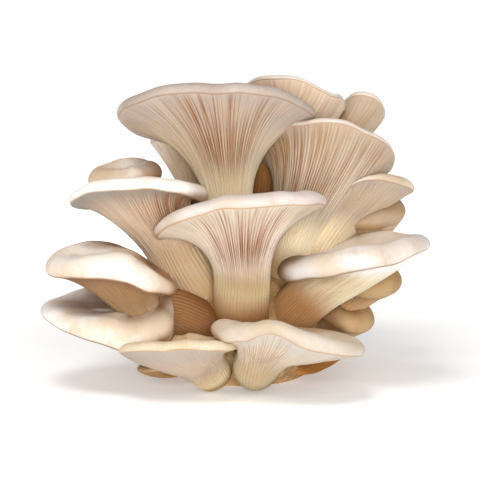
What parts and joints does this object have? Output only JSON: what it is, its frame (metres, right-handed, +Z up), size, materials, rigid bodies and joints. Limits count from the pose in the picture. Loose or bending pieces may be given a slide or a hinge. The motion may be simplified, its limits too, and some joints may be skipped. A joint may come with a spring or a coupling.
{
  "type": "oyster mushroom cluster",
  "caption": "Cluster of oyster mushrooms with gilled funnel and shelf caps fanning out from one shared butt.",
  "frame": {"origin": "middle of the flat cut face under the butt, where the cluster rests", "axes": "+Z up, +X to the right and -Y towards the front, the side that the picture shows"},
  "size_m": [0.1553, 0.1428, 0.1217],
  "materials": {
    "mushroom_flesh": "matte",
    "butt_flesh": "matte"
  },
  "bodies": {
    "root": {"base_knot": "butt_flesh", "front_centre": "mushroom_flesh", "top_trumpet": "mushroom_flesh", "low_right": "mushroom_flesh", "low_left": "mushroom_flesh", "left_middle": "mushroom_flesh", "left_leaf": "mushroom_flesh", "right_ledge": "mushroom_flesh", "left_shelf": "mushroom_flesh", "right_fan": "mushroom_flesh", "under_right": "mushroom_flesh", "right_wing": "mushroom_flesh", "left_bud": "mushroom_flesh", "right_knob": "mushroom_flesh", "low_ear": "mushroom_flesh", "back_left": "mushroom_flesh", "right_behind": "mushroom_flesh", "back_crest": "mushroom_flesh", "back_ear": "mushroom_flesh", "low_scrap": "mushroom_flesh", "rear_shelf": "mushroom_flesh", "rear_left": "mushroom_flesh", "rear_right": "mushroom_flesh", "rear_low_left": "mushroom_flesh", "rear_low_right": "mushroom_flesh"}
  },
  "joints": []
}
